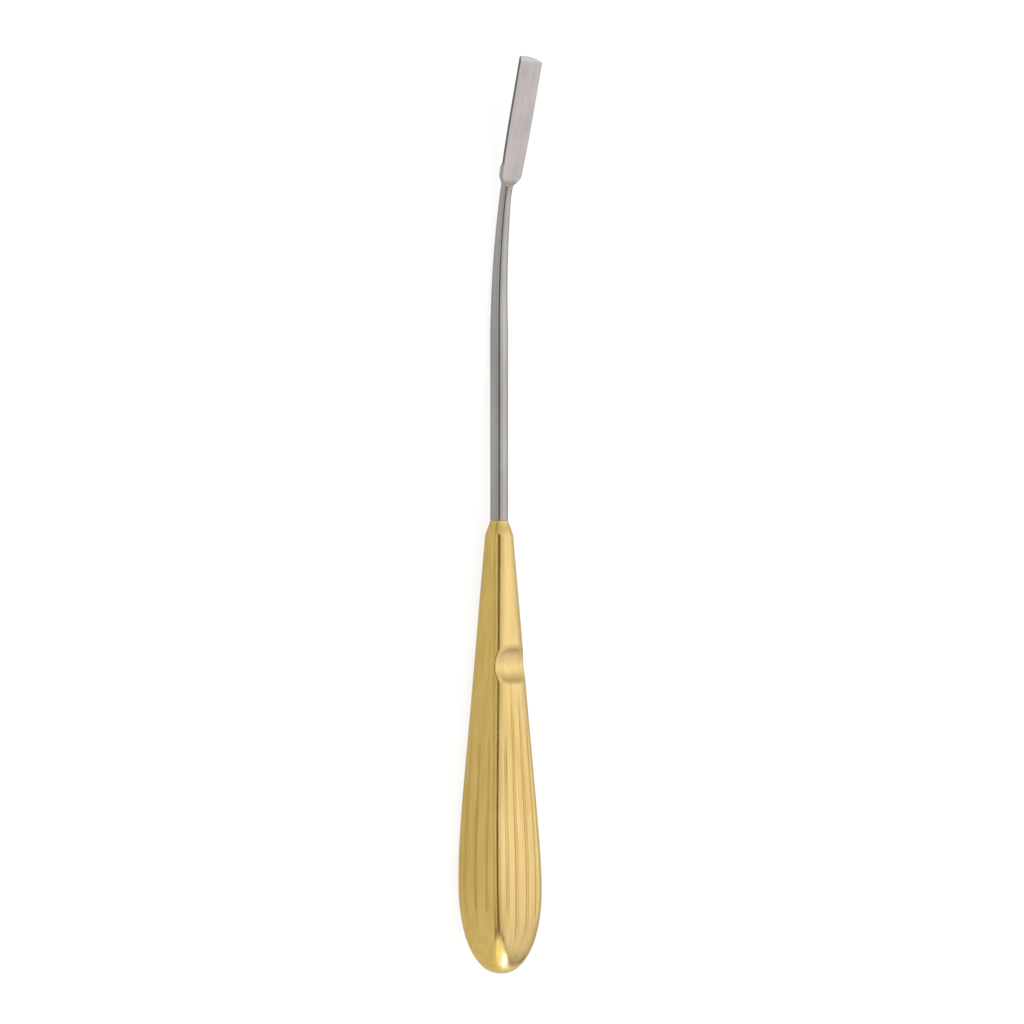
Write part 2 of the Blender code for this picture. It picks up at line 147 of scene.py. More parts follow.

# Where the blade's finish and its painted shade change, along it and away from its face
SATIN_FROM = 0.0014
RUNOUT_TO = 0.0030
FINISH_AND_SHADE_BLEND = 0.0014  # the length over which one finish turns into the next, and over which the run-out's painted shade fades
ON_FACE = 0.00015  # skin this near the ground face belongs to it
UNDER_FACE = 0.00012  # skin this far under it belongs to the flank
BEVEL_BLEND = 0.0002
FLANK_BLEND = 3  # points around the shank

# How it lies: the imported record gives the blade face's direction, and so the tilt on the table
BLADE_ANGLE = SWEEP_ANGLE + KINK_ANGLE
face_axis = frame["record"]["mounts"][0]["axis"]
TILT = math.atan2(-face_axis[1], face_axis[2]) - BLADE_ANGLE

# Photograph: the camera looks at the handle's corner between its front and its left side
PHOTO_SPAN = 0.2683  # metres across the square picture
CAMERA_TURN = math.radians(45)  # from straight above the front towards the left side
AIM_ALONG = 0.0977  # what the picture's middle shows, from the handle's widest section
AIM_ACROSS = 0.003354  # and how far to the right of the axis
CAMERA_DISTANCE = 1.49
SENSOR = 36.0


# Small helpers

def smooth(x):
    """0 below 0, 1 above 1, and an even step between."""
    x = min(max(x, 0.0), 1.0)
    return x * x * (3 - 2 * x)


def soft_max(a, b, width):
    """The larger of two lengths, rounded over where they cross."""
    near = max(width - abs(a - b), 0.0) / width
    return max(a, b) + near * near * width / 4


def spread(marks, counts):
    """Values from mark to mark, with so many even steps in each stretch, and the last mark."""
    values = []
    for a, b, count in zip(marks, marks[1:], counts):
        values += [a + (b - a) * k / count for k in range(count)]
    return values + [marks[-1]]


def skin(rings):
    """Faces between rings of equal length. A ring of one point is a pole, and the ends stay open."""
    faces, start = [], 0
    for ring, after in zip(rings, rings[1:]):
        m, n = len(ring), len(after)
        nxt = start + m
        for k in range(max(m, n)):
            j = (k + 1) % max(m, n)
            if m == 1:
                faces.append((start, nxt + k, nxt + j))
            elif n == 1:
                faces.append((start + k, nxt, start + j))
            else:
                faces.append((start + k, nxt + k, nxt + j, start + j))
        start = nxt
    return faces


def new_piece(name, rings, faces, values):
    """A smooth mesh piece. values holds the numbers that its material reads, one for each point."""
    points = [p for ring in rings for p in ring]
    mesh = bpy.data.meshes.new(name)
    mesh.from_pydata(points, [], faces)
    work = bmesh.new()
    work.from_mesh(mesh)
    bmesh.ops.recalc_face_normals(work, faces=work.faces)
    work.to_mesh(mesh)
    work.free()
    straight = mesh.attributes.new("straight", "FLOAT_VECTOR", "POINT")
    straight.data.foreach_set("vector", [c for p in points for c in p])
    for key, numbers in values.items():
        mesh.attributes.new(key, "FLOAT", "POINT").data.foreach_set("value", numbers)
    mesh.shade_smooth()
    piece = bpy.data.objects.new(name, mesh)
    bpy.context.scene.collection.objects.link(piece)
    return piece


# The handle's form

TAPER_SLOPE = (HANDLE_DIAG - NECK_DIAG) / (
    math.hypot(HANDLE_TAPER_LENGTH, HANDLE_BLEND) - HANDLE_BLEND
)


def diag(y):
    """Half the size across the corners."""
    if y < 0:
        share = min(-y / BUTT_LENGTH, 1.0)
        return HANDLE_DIAG * (1 - share**BUTT_POWER) ** (1 / BUTT_POWER)
    if y <= HANDLE_TAPER_LENGTH:
        waist = HANDLE_WAIST * math.sin(math.pi * y / HANDLE_TAPER_LENGTH) ** 2
        return HANDLE_DIAG - TAPER_SLOPE * (math.hypot(y, HANDLE_BLEND) - HANDLE_BLEND) - waist
    share = min(max((HANDLE_END - y) / SHOULDER_LENGTH, 0.0), 1.0)
    return END_RADIUS + (NECK_DIAG - END_RADIUS) * math.sin(math.pi / 2 * share**SHOULDER_POWER)


def bow(y):
    """How far the section's centre is in front of the axis."""
    return HANDLE_BOW * smooth((BOW_FROM - y) / (BOW_FROM + BUTT_LENGTH))


def halves(y):
    """Half width, half thickness and exponent of the section."""
    if y < 0:
        share = math.cos(min(-y / BUTT_LENGTH, 1.0) * math.pi / 2)
        n = BUTT_SQUARENESS + (SQUARENESS - BUTT_SQUARENESS) * share
    else:
        n = SQUARENESS - (SQUARENESS - 2) * min(y / HANDLE_TAPER_LENGTH, 1.0)
    aspect = math.sqrt(1 + (HANDLE_ASPECT - 1) * (n - 2) / (SQUARENESS - 2))
    mean = diag(y) * 2 ** (1 / n - 0.5)
    return mean * aspect, mean / aspect, n


def face_shares(grooves, corner):
    """Where the points of a face are, from corner to corner: fine across each groove."""
    marks, counts = [-corner], []
    for g in grooves:
        marks += [g - GROOVE_HALF, g + GROOVE_HALF]
        counts += [RIB_STEPS, GROOVE_STEPS]
    return spread(marks + [corner], [CORNER_STEPS] + counts[1:] + [CORNER_STEPS])


def groove_dent(share, y, grooves, inner):
    """How deep the grooves are here, from 0 to 1."""
    deep = 0.0
    for g in grooves:
        low, high = INNER_GROOVE_Y if abs(g) == inner else OUTER_GROOVE_Y
        run = smooth((y - low) / GROOVE_FADE_BUTT) * smooth((high - y) / GROOVE_FADE_NECK)
        across = min(abs(share - g) / GROOVE_HALF, 1.0)
        deep = max(deep, run * 0.5 * (1 + math.cos(math.pi * across)))
    return deep


def notched(x, y, z, skin_height):
    """A point of the upper skin, drawn in towards the axis as far as the notch asks for. skin_height is
    how far the skin's tangent there is from the axis."""
    centre = halves(NOTCH_Y)[1] - NOTCH_DEPTH + NOTCH_RADIUS

    def outside(share):
        into_notch = NOTCH_RADIUS - math.hypot(y - NOTCH_Y, centre - share * z)
        return soft_max((share - 1) * skin_height, into_notch, NOTCH_SOFT)

    if abs(y - NOTCH_Y) > NOTCH_RADIUS + NOTCH_SOFT or outside(1.0) <= 0:
        return x, z
    low, high = 0.2, 1.0  # shares of the way out, halved until they meet
    for _ in range(22):
        middle = (low + high) / 2
        low, high = (low, middle) if outside(middle) > 0 else (middle, high)
    return x * low, z * low


def handle_ring(y):
    """The section at y, grooves and notch included, with how deep the groove is at each point and how
    far the skin faces sideways."""
    a, b, n = halves(y)
    corner = 0.5 ** (1 / n)
    broad, narrow = face_shares(FACE_GROOVES, corner), face_shares(SIDE_GROOVES, corner)
    points, dents, sideways = [], [], []

    def add(sx, sz, dent):
        nx = math.copysign(abs(sx) ** (n - 1), sx) / a
        nz = math.copysign(abs(sz) ** (n - 1), sz) / b
        size = math.hypot(nx, nz)
        deep = GROOVE_DEPTH * dent / size
        x, z = sx * a - nx * deep, bow(y) + sz * b - nz * deep
        facing = smooth((abs(nx) / size - SIDE_FROM) / (SIDE_TO - SIDE_FROM))
        if sz > 0:
            skin_x = x
            x, z = notched(x, y, z, (nx * x + nz * z) / size)
            facing *= smooth(1 - 4 * abs(skin_x - x) / NOTCH_SOFT)
        points.append((x, y, z))
        dents.append(dent)
        sideways.append(facing)

    def other(share):
        return (1 - abs(share) ** n) ** (1 / n)

    for s in broad[:-1]:
        add(s, other(s), groove_dent(s, y, FACE_GROOVES, FACE_GROOVES[2]))
    for s in reversed(narrow[1:]):
        add(other(s), s, groove_dent(s, y, SIDE_GROOVES, None))
    for s in reversed(broad[1:]):
        add(s, -other(s), groove_dent(s, y, FACE_GROOVES, FACE_GROOVES[2]))
    for s in narrow[:-1]:
        add(-other(s), s, groove_dent(s, y, SIDE_GROOVES, None))
    return points, dents, sideways


def build_handle():
    """The gold shell, from the pole of its butt to its neck, and a short way into the bore."""
    notch_half = math.sqrt(NOTCH_RADIUS**2 - (NOTCH_RADIUS - NOTCH_DEPTH) ** 2)
    notch = notch_half + 1.5 * NOTCH_SOFT
    ys = [-BUTT_LENGTH * math.cos(math.pi / 2 * k / BUTT_RINGS) for k in range(1, BUTT_RINGS)]
    marks = (0, NOTCH_Y - notch, NOTCH_Y + notch, HANDLE_TAPER_LENGTH, HANDLE_END - RIM_ROUND)
    ys += spread(marks, HANDLE_RINGS)
    rings, dents, sideways = [[(0.0, -BUTT_LENGTH, bow(-BUTT_LENGTH))]], [0.0], [0.0]
    for y in ys:
        points, ring_dents, ring_sideways = handle_ring(y)
        rings.append(points)
        dents += ring_dents
        sideways += ring_sideways
    last = rings[-1]
    for radius, y in (
        (END_RADIUS - RIM_ROUND * ARC_MIDDLE, HANDLE_END - RIM_ROUND * ARC_MIDDLE),
        (END_RADIUS - RIM_ROUND, HANDLE_END),
        (BORE_RADIUS, HANDLE_END),
        (BORE_RADIUS, HANDLE_END - BORE_LENGTH),
    ):
        scales = [radius / math.hypot(x, z) for x, _, z in last]
        rings.append([(x * scale, y, z * scale) for (x, _, z), scale in zip(last, scales)])
        dents += [0.0] * len(last)
        sideways += ring_sideways
    faces = skin(rings)
    total = sum(len(ring) for ring in rings)
    faces.append(tuple(range(total - len(last), total)))  # closes the bore
    return new_piece("gold_handle", rings, faces, {"groove": dents, "side": sideways})


# The shank and blade follow one line in the y, z plane

SWEEP_LENGTH = SWEEP_RADIUS * SWEEP_ANGLE
KINK_LENGTH = KINK_RADIUS * KINK_ANGLE
BEND_FROM = HANDLE_END + SHANK_STRAIGHT
BEND_TO = BEND_FROM + SWEEP_LENGTH + KINK_LENGTH


def line_at(length):
    """Point and angle of the centre line at this length from the handle's widest section."""
    if length <= BEND_FROM:
        return length, 0.0, 0.0
    part = min(length - BEND_FROM, SWEEP_LENGTH)
    angle = part / SWEEP_RADIUS
    y = BEND_FROM + SWEEP_RADIUS * math.sin(angle)
    z = SWEEP_RADIUS * (1 - math.cos(angle))
    if length <= BEND_FROM + SWEEP_LENGTH:
        return y, z, angle
    part = min(length - BEND_FROM - SWEEP_LENGTH, KINK_LENGTH)
    end = SWEEP_ANGLE + part / KINK_RADIUS
    y += KINK_RADIUS * (math.sin(end) - math.sin(SWEEP_ANGLE))
    z += KINK_RADIUS * (math.cos(SWEEP_ANGLE) - math.cos(end))
    rest = max(length - BEND_TO, 0.0)
    return y + rest * math.cos(end), z + rest * math.sin(end), end


def circle(radius):
    return [
        (radius * math.cos(2 * math.pi * k / AROUND), radius * math.sin(2 * math.pi * k / AROUND))
        for k in range(AROUND)
    ]


def plate(half, top, bottom, keel):
    """A flat section with rounded edges and a keel under it, point for point with the circle."""
    quarter = AROUND // 4
    c0, c1 = quarter // 2 - EDGE_POINTS, quarter // 2 + EDGE_POINTS
    middle, tall = (top + bottom) / 2, (top - bottom) / 2
    rounding = min(EDGE_ROUND, half * 0.45, tall * 0.8)
    ring = []
    for k in range(AROUND):
        q = k if k <= 2 * quarter else k - 4 * quarter
        up, m = (1 if q >= 0 else -1), abs(q)
        right = 1 if m <= quarter else -1
        m = m if m <= quarter else 2 * quarter - m
        if m < c0:
            x, n = half, (tall - rounding) * m / c0
        elif m <= c1:
            turn = math.pi / 2 * (m - c0) / (c1 - c0)
            x = half - rounding + rounding * math.cos(turn)
            n = tall - rounding + rounding * math.sin(turn)
        else:
            x, n = (half - rounding) * (quarter - m) / (quarter - c1), tall
        n = middle + up * n
        if up < 0 and m > c1:
            n -= keel * math.exp(-((x / SHANK_TIP_RADIUS) ** KEEL_POWER))
        ring.append((right * x, n))
    return ring


def blade_ring(at):
    """The section at this length along the blade, before its face is cut flat."""
    weight = min(max((at - SHOULDER_FROM) / (SHOULDER_TO - SHOULDER_FROM), 0.0), 1.0)
    to_tip = BLADE_LENGTH - at
    narrow = (1 - min(at / BLADE_WIDENS, 1.0)) ** 2
    half = (BLADE_WIDTH + (BLADE_ROOT_WIDTH - BLADE_WIDTH) * narrow) / 2
    if to_tip < TIP_CORNER:
        half -= TIP_CORNER - math.sqrt(max(TIP_CORNER**2 - (TIP_CORNER - to_tip) ** 2, 0))
    root = 1 - smooth((at - ROOT_LENGTH) / ROOT_STEP)
    thick = BLADE_THICKNESS + (ROOT_THICKNESS - BLADE_THICKNESS) * root
    keel = (BLADE_FACE + SHANK_TIP_RADIUS - thick) * (1 - smooth((at - SHOULDER_TO) / KEEL_LENGTH))
    flat = plate(half, BLADE_FACE + FACE_STOCK, BLADE_FACE - thick, keel)
    return [
        (c[0] * (1 - weight) + f[0] * weight, c[1] * (1 - weight) + f[1] * weight)
        for c, f in zip(circle(SHANK_TIP_RADIUS), flat)
    ]


def face_height(at):
    """How far the ground face is in front of the blade's line: flat, with a bevel at the tip, and it
    runs out of the shank in a curve."""
    if at < FACE_FROM:
        back = FACE_FROM - at
        if back > RUNOUT_RADIUS * math.sin(RUNOUT_ANGLE):
            return math.inf
        return BLADE_FACE + RUNOUT_RADIUS - math.sqrt(RUNOUT_RADIUS**2 - back**2)
    into = max(at - (BLADE_LENGTH - TIP_BEVEL_LENGTH), 0.0)
    return BLADE_FACE - TIP_BEVEL_DEPTH * into / TIP_BEVEL_LENGTH


def steel_ring(ring, length):
    """A flat ring of (x, n) set square to the line, and its front ground down to the blade's face."""
    y, z, angle = line_at(length)
    y0, z0, end = line_at(BEND_TO)
    share = smooth(1 - (BEND_TO + BLADE_LENGTH - length) / TIP_REACH)
    points = []
    for x, n in ring:
        across = x / (BLADE_WIDTH / 2)
        back = share * (TIP_CROWN * across**2 + TIP_SLANT * x)
        py = y - n * math.sin(angle) - back * math.cos(angle)
        pz = z + n * math.cos(angle) - back * math.sin(angle)
        at = (py - y0) * math.cos(end) + (pz - z0) * math.sin(end)
        high = (pz - z0) * math.cos(end) - (py - y0) * math.sin(end)
        ground = -soft_max(-high, -face_height(at), FACE_SOFT)
        points.append((x, py - (ground - high) * math.sin(end), pz + (ground - high) * math.cos(end)))
    return points


def shank_radius(length):
    start, end = BEND_FROM - TAPER_START, BEND_TO - KINK_LENGTH
    share = min(max((length - start) / (end - start), 0.0), 1.0)
    return SHANK_RADIUS + (SHANK_TIP_RADIUS - SHANK_RADIUS) * share


def build_steel():
    """Tang, shank and blade in one skin."""
    tang_from, foot = HANDLE_END - TANG_LENGTH, HANDLE_END + SEAM
    sections = [
        (TANG_END_RADIUS, tang_from),
        (TANG_RADIUS, tang_from + TANG_CHAMFER),
        (TANG_RADIUS, foot),
        (SHANK_RADIUS - FOOT_ROUND, foot),
        (SHANK_RADIUS - FOOT_ROUND * ARC_MIDDLE, foot + FOOT_ROUND * ARC_MIDDLE),
        (SHANK_RADIUS, foot + FOOT_ROUND),
    ]
    rings = [steel_ring(circle(radius), length) for radius, length in sections]
    marks = (foot + FIRST_RING, BEND_FROM - TAPER_START, BEND_TO - TIGHT_END, BEND_TO)
    lengths = spread(marks, SHANK_RINGS)
    rings += [steel_ring(circle(shank_radius(length)), length) for length in lengths]
    marks = (0, SHOULDER_TO, ROOT_LENGTH + ROOT_STEP, BLADE_LENGTH - TIP_REACH,
             BLADE_LENGTH - TIP_BEVEL_LENGTH * 1.5, BLADE_LENGTH - TIP_CORNER, BLADE_LENGTH)
    along = spread(marks, BLADE_RINGS)[1:]
    rings += [steel_ring(blade_ring(at), BEND_TO + at) for at in along]
    faces = skin(rings)
    faces.append(tuple(range(AROUND)))  # closes the tang, and the strips below close the tip
    last, half = (len(rings) - 1) * AROUND, AROUND // 2
    faces += [(last + k, last + k + 1, last + AROUND - k - 1, last + (AROUND - k) % AROUND)
              for k in range(1, half - 1)]
    faces += [(last, last + 1, last + AROUND - 1), (last + half - 1, last + half, last + half + 1)]
    return new_piece("steel_shank", rings, faces, blade_marks(rings))


def blade_marks(rings):
    """Where the finish and the painted light change, for each point: the blade's face, painted shade at
    the lower end where that face runs out of the shank, painted shade on the blade's flanks, and the
    bevel of its tip, partly painted lighter."""
    y0, z0, angle = line_at(BEND_TO)
    marks = {"blade": [], "runout": [], "flank": [], "bevel": []}
    quarter, eighth = AROUND // 4, AROUND / 8
    for ring in rings:
        for k, (x, y, z) in enumerate(ring):
            at = (y - y0) * math.cos(angle) + (z - z0) * math.sin(angle)
            high = (z - z0) * math.cos(angle) - (y - y0) * math.sin(angle)
            from_side = abs((k + quarter) % (2 * quarter) - quarter)  # in points around the ring
            thin = smooth((at - ROOT_LENGTH) / ROOT_STEP)
            under_face = smooth((BLADE_FACE - high) / UNDER_FACE)
            on_face = smooth(1 - (face_height(at) - high) / ON_FACE)
            bevelled = smooth((at - BLADE_LENGTH + TIP_BEVEL_LENGTH) / BEVEL_BLEND)
            in_front = high > BLADE_FACE - TIP_BEVEL_DEPTH * 1.3
            satin = smooth((at - SATIN_FROM) / FINISH_AND_SHADE_BLEND)
            beside = smooth((eighth + FLANK_BLEND / 2 - from_side) / FLANK_BLEND)
            marks["blade"].append(satin * max(thin, 1 - under_face))
            marks["runout"].append(on_face * smooth((RUNOUT_TO - at) / FINISH_AND_SHADE_BLEND))
            marks["flank"].append(thin * under_face * beside)
            marks["bevel"].append(bevelled if in_front else 0.0)
    return marks


def weigh_normals(piece):
    """Keeps the flat faces flat in the light beside their small rounded edges."""
    normals = piece.modifiers.new("normals", "WEIGHTED_NORMAL")
    normals.weight = 100
    normals.keep_sharp = True


# Where it lies

def lay_down(pieces):
    """Tips the pieces as the instrument lies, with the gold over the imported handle."""
    turn = Matrix.Rotation(TILT, 4, "X")
    gold = [turn @ v.co for v in pieces[0].data.vertices]
    low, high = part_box("handle")
    shift = Vector((0, 0, 0))
    for i in (1, 2):
        middle = (min(p[i] for p in gold) + max(p[i] for p in gold)) / 2
        shift[i] = (low[i] + high[i]) / 2 - middle
    place = Matrix.Translation(shift) @ turn
    for piece in pieces:
        piece.data.transform(place)
    return place


# Materials

# Gold of the broad faces, of the sides with a painted reflection tint, and painted shade in the grooves.
# Each face runs between two colours.
GOLD_PALE, GOLD_DEEP = (0.88, 0.645, 0.285, 1), (0.77, 0.55, 0.205, 1)
GOLD_SIDE_REFLECTION_PALE, GOLD_SIDE_REFLECTION_DEEP = (0.88, 0.65, 0.225, 1), (0.78, 0.56, 0.15, 1)
GOLD_GROOVE_SHADE = (0.50, 0.30, 0.08, 1)
GROOVE_SHADE_SHARE = 0.25  # how much of that painted shade a groove takes on
GOLD_ROUGH = (0.16, 0.22)
GOLD_ROUGH_DRAWN = (0.0, 0.08)  # added along the drawn marks

# Steel of the shank and of the blade's face, and painted colours around it: painted shade on the flanks
# and the run-out, and a tip bevel partly painted lighter
SHANK_PALE, SHANK_DEEP = (0.515, 0.505, 0.49, 1), (0.445, 0.435, 0.425, 1)
BLADE_PALE, BLADE_DEEP = (0.70, 0.62, 0.605, 1), (0.59, 0.555, 0.545, 1)
# greyer ground steel of the tip bevel, partly painted lighter for the light it catches
BEVEL_GRIND_AND_SHEEN = (0.65, 0.65, 0.645, 1)
# painted shade: the flanks are coloured dark where they show a dark reflection
FLANK_PAINTED_SHADE = (0.235, 0.24, 0.235, 1)
# painted shade in the run-out's hollow, where the face leaves the shank
RUNOUT_PAINTED_SHADE = (0.40, 0.35, 0.31, 1)
SHANK_ROUGH, BLADE_ROUGH = (0.16, 0.26), (0.38, 0.50)

# How deep the marks are, in metres
DRAWN_DEPTH = 0.000004
WAVE_DEPTH = 0.00002
GRAIN_DEPTH = 0.000012


def add_node(tree, kind, inputs=None, **settings):
    """A node with its settings made, and its sockets filled or linked."""
    node = tree.nodes.new(kind)
    for key, value in settings.items():
        setattr(node, key, value)
    for key, value in (inputs or {}).items():
        if isinstance(value, bpy.types.NodeSocket):
            tree.links.new(value, node.inputs[key])
        else:
            node.inputs[key].default_value = value
    return node


def math_node(tree, operation, a, b=0.0):
    return add_node(tree, "ShaderNodeMath", {0: a, 1: b}, operation=operation).outputs[0]


def product(tree, value, *others):
    for other in others:
        value = math_node(tree, "MULTIPLY", value, other)
    return value


def stored(tree, name):
    """One of the numbers that new_piece() stores with the points."""
    return add_node(tree, "ShaderNodeAttribute", attribute_name=name).outputs["Fac"]


def noise(tree, coords, scale, stretch=(1, 1, 1), detail=3.0, rough=0.5):
    """Noise along the instrument's own axes. stretch below 1 draws it out that way."""
    placed = add_node(tree, "ShaderNodeMapping", {"Vector": coords, "Scale": stretch})
    return add_node(tree, "ShaderNodeTexNoise", {
        "Vector": placed.outputs[0], "Scale": scale, "Detail": detail, "Roughness": rough,
    }).outputs[0]


def ramp(tree, value, low, high, to_low=0.0, to_high=1.0):
    """Maps low..high to to_low..to_high, and stops at both ends."""
    node = add_node(tree, "ShaderNodeMapRange", {
        "Value": value, "From Min": low, "From Max": high, "To Min": to_low, "To Max": to_high,
    })
    return node.outputs[0]


def mix_colour(tree, factor, a, b):
    node = add_node(tree, "ShaderNodeMix", data_type="RGBA")
    for key, value in ((0, factor), (6, a), (7, b)):
        if isinstance(value, bpy.types.NodeSocket):
            tree.links.new(value, node.inputs[key])
        else:
            node.inputs[key].default_value = value
    return node.outputs[2]


def metal(name):
    """A metal material, its shader and the coordinates along the instrument."""
    material = bpy.data.materials.new(name)
    material.use_nodes = True
    tree = material.node_tree
    shader = tree.nodes["Principled BSDF"]
    shader.inputs["Metallic"].default_value = 1.0
    coords = add_node(tree, "ShaderNodeAttribute", attribute_name="straight").outputs["Vector"]
    return material, tree, shader, coords


def bump(tree, shader, height, distance, strength=1.0, before=None):
    inputs = {"Height": height, "Distance": distance, "Strength": strength}
    if before:
        inputs["Normal"] = before
    node = add_node(tree, "ShaderNodeBump", inputs)
    tree.links.new(node.outputs[0], shader.inputs["Normal"])
    return node.outputs[0]


def gold_material():
    """Polished gold plate: drawn-out polishing marks, a soft mottle, painted shade in the grooves, and a
    painted reflection tint on the sides.
    """
    material, tree, shader, coords = metal("gold_plate")
    mottle = noise(tree, coords, 130, (1, 0.35, 1), detail=4)
    streak = noise(tree, coords, 1100, (1, 0.012, 1), rough=0.55)
    drawn = noise(tree, coords, 2600, (1, 0.02, 1), rough=0.6)
    shade = math_node(tree, "ADD", product(tree, mottle, 0.4), product(tree, streak, 0.6))
    worn = ramp(tree, shade, 0.40, 0.60)
    broad = mix_colour(tree, worn, GOLD_PALE, GOLD_DEEP)
    narrow = mix_colour(tree, worn, GOLD_SIDE_REFLECTION_PALE, GOLD_SIDE_REFLECTION_DEEP)
    # painted reflection: the side faces take a deeper, less blue gold
    colour = mix_colour(tree, stored(tree, "side"), broad, narrow)
    # painted shade: the grooves darken towards brown
    colour = mix_colour(tree, product(tree, stored(tree, "groove"), GROOVE_SHADE_SHARE), colour, GOLD_GROOVE_SHADE)
    tree.links.new(colour, shader.inputs["Base Color"])
    rough = math_node(tree, "ADD", ramp(tree, mottle, 0.3, 0.7, *GOLD_ROUGH),
                      ramp(tree, drawn, 0.35, 0.75, *GOLD_ROUGH_DRAWN))
    tree.links.new(rough, shader.inputs["Roughness"])
    wave = noise(tree, coords, 520, (1, 0.05, 1), detail=2)
    first = bump(tree, shader, wave, WAVE_DEPTH, 0.5)
    bump(tree, shader, drawn, DRAWN_DEPTH, 0.35, first)
    return material


def steel_material():
    """Surgical steel: a drawn shank, and a blade with a dull blasted finish, painted shade on its flanks
    and run-out, and a greyer tip bevel partly painted lighter.
    """
    material, tree, shader, coords = metal("satin_steel")
    cloud = noise(tree, coords, 160, (1, 0.3, 1), detail=4)
    stroke = noise(tree, coords, 420, (1, 0.06, 1), detail=4, rough=0.55)
    drawn = noise(tree, coords, 3200, (1, 0.012, 1), rough=0.6)
    grain = noise(tree, coords, 9000, detail=2, rough=0.6)
    shank = mix_colour(tree, ramp(tree, cloud, 0.35, 0.65), SHANK_PALE, SHANK_DEEP)
    satin = mix_colour(tree, ramp(tree, stroke, 0.38, 0.62), BLADE_PALE, BLADE_DEEP)
    blade = stored(tree, "blade")
    colour = mix_colour(tree, blade, shank, satin)
    # the tip bevel is partly painted lighter; the flanks and the run-out take painted shade
    for name, steel in (("bevel", BEVEL_GRIND_AND_SHEEN), ("flank", FLANK_PAINTED_SHADE), ("runout", RUNOUT_PAINTED_SHADE)):
        colour = mix_colour(tree, stored(tree, name), colour, steel)
    tree.links.new(colour, shader.inputs["Base Color"])
    rough_shank = ramp(tree, drawn, 0.3, 0.7, *SHANK_ROUGH)
    rough_blade = ramp(tree, grain, 0.3, 0.7, *BLADE_ROUGH)
    rough = add_node(tree, "ShaderNodeMix", {0: blade, 2: rough_shank, 3: rough_blade}).outputs[0]
    tree.links.new(rough, shader.inputs["Roughness"])
    first = bump(tree, shader, drawn, DRAWN_DEPTH, 0.4)
    bump(tree, shader, product(tree, grain, blade), GRAIN_DEPTH, 0.5, first)
    return material


# Studio

FLOOR_SIZE = 3.0  # half its width
FLOOR_PAPER = (0.30, 0.30, 0.30, 1)
FLOOR_GLOW = (0.84, 0.84, 0.84, 1)  # what the camera sees on top of the lit paper
FLOOR_BOUNCE = (0.455, 0.447, 0.425, 1)  # and what the metal reflects
FLOOR_SPOT = (-0.02, -0.40, 0)  # a painted pool of light beyond the butt, seen only in the metal's reflections
FLOOR_SPOT_REACH = (0.12, 0.26)  # from all of that brightness to none of it
FLOOR_SPOT_LEVEL = 1.8

SKY_LOW, SKY_HIGH = 0.52, 1.11
SKY_FULL = 0.68  # sine of the height from which the sky is at its brightest
GAP_ACROSS = (0.15, 0.22)  # sines of the angles where the dark patch ends, across the instrument
GAP_ALONG = (0.44, 0.52)  # and along it
GAP_LEVEL = 0.14
GAP_COLOUR = (1.0, 0.60, 0.12, 1)  # what little light it gives is warm
GAP_SIDE = (0.0, 0.2)  # it is only on the camera's side of the sky
SHADE_DIRECTION = (-0.44, 0, 0.898)  # the sky is a little darker above the photographer
SHADE_REACH = (0.82, 0.985)  # cosines of how far that reaches
SHADE_LEVEL = 0.82
SKY_SIDE = (-0.9, 0.5)  # the sky is dimmer on the left, from the first of these to the second
SKY_LEFT = 0.88
# Along the instrument the sky is dimmer on the butt's side, and dims again at both ends. Each line gives
# the sines of two angles and the levels there.
SKY_ALONG = (-0.20, 0.10), (0.80, 1.0)
SKY_BUTT = (-0.85, -0.39), (0.36, 1.0)
SKY_BLADE = (0.35, 0.85), (1.0, 0.60)
WINDOW_ACROSS = (0.4, 0.65)  # sines of where a brighter patch beyond the butt ends, across
WINDOW_ALONG = (0.55, 0.62)  # and where it begins, along the instrument
WINDOW_LEVEL = 1.25
BAR_FROM, BAR_TO = (0.45, 0.48), (0.53, 0.57)  # a dark bar between that and the photographer
BAR_ACROSS = (0.62, 0.78)
BAR_LEVEL = 0.2

BUTT_LAMP_DIRECTION = Vector((0.17, -0.94, 0.44))
BUTT_LAMP_DISTANCE = 0.6
BUTT_LAMP_SIZE = (0.27, 0.40)
BUTT_LAMP_POWER = 0.8


def camera_axes(place):
    """Directions from the instrument to the camera, across the picture, and up it."""
    turn = place.to_3x3()
    towards = turn @ Vector((-math.sin(CAMERA_TURN), 0, math.cos(CAMERA_TURN)))
    across = turn @ Vector((math.cos(CAMERA_TURN), 0, math.sin(CAMERA_TURN)))
    up = turn @ Vector((0, 1, 0))
    return towards, across, up


def make_camera(place):
    towards, across, up = camera_axes(place)
    aim = place @ Vector((0, AIM_ALONG, 0)) + across * AIM_ACROSS
    data = bpy.data.cameras.new("camera")
    data.sensor_width = SENSOR
    data.lens = SENSOR * CAMERA_DISTANCE / PHOTO_SPAN
    data.clip_start, data.clip_end = 0.05, 20
    camera = bpy.data.objects.new("camera", data)
    camera.matrix_world = Matrix.Translation(aim + towards * CAMERA_DISTANCE) @ Matrix(
        (across, up, towards)).transposed().to_4x4()
    bpy.context.scene.collection.objects.link(camera)
    bpy.context.scene.camera = camera


